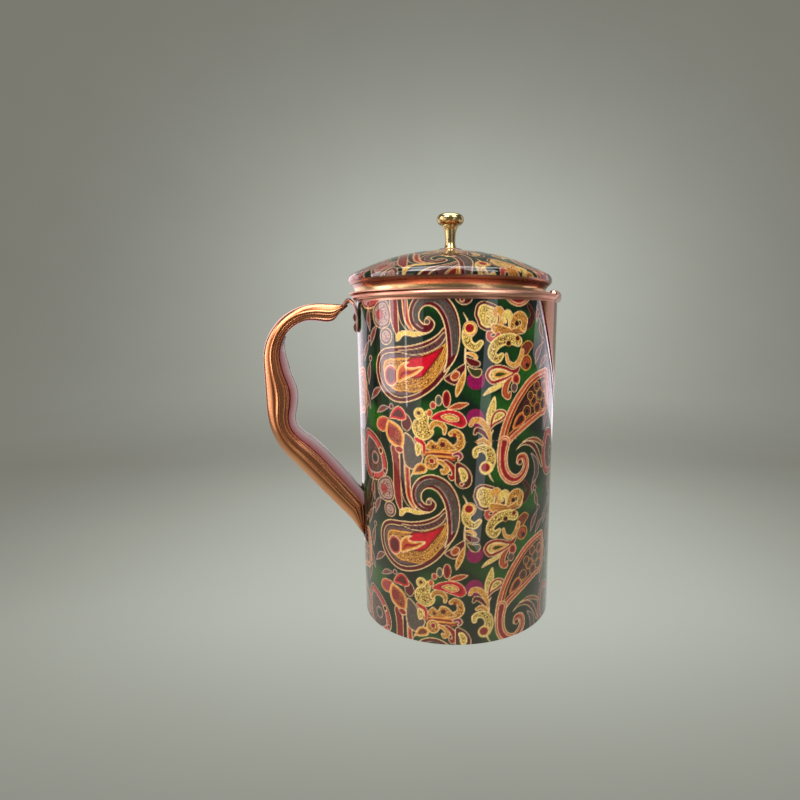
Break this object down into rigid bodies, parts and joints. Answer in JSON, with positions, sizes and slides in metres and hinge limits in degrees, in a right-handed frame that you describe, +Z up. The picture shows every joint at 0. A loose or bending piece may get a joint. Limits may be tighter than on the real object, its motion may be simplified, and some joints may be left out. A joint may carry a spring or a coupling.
{
  "type": "copper water jug",
  "caption": "Tall cylindrical metal water jug with a printed paisley skin, a soldered spout, a hollow pressed handle and a loose domed lid with a brass knob.",
  "frame": {"origin": "on the axis of the body, on the plane the base stands on", "axes": "+Z up along the body axis, +X to the spout, -X to the handle"},
  "size_m": [0.1682, 0.1148, 0.2242],
  "materials": {
    "copper": "polished copper",
    "handle_copper": "polished copper, slightly worn",
    "dark_copper": "oxidised copper",
    "solder": "dull solder",
    "wire": "plain copper wire",
    "printed_film": "printed film under clear lacquer",
    "brass": "polished brass",
    "steel": "plain"
  },
  "bodies": {
    "jug": {"body_wall": "copper", "body_base": "copper", "base_braze": "solder", "body_film": "printed_film", "rim_wire": "wire", "spout_shell": "copper", "spout_roll": "copper", "spout_wire": "wire", "spout_braze": "solder", "handle_shell": "handle_copper", "handle_grip": "handle_copper", "handle_bracket": "dark_copper", "rivet_upper": "copper", "rivet_lower": "copper", "foot_braze": "solder"},
    "lid": {"lid_dome": "copper", "lid_film": "printed_film", "lid_band": "copper", "lid_skirt": "copper", "knob": "brass", "knob_collar": "dark_copper", "knob_washer": "brass", "knob_screw": "steel"}
  },
  "joints": [
    {"name": "lid_lift", "type": "slide", "parent": "jug", "child": "lid", "axis": [0, 0, 1], "range_m": [0, 0.06]}
  ]
}
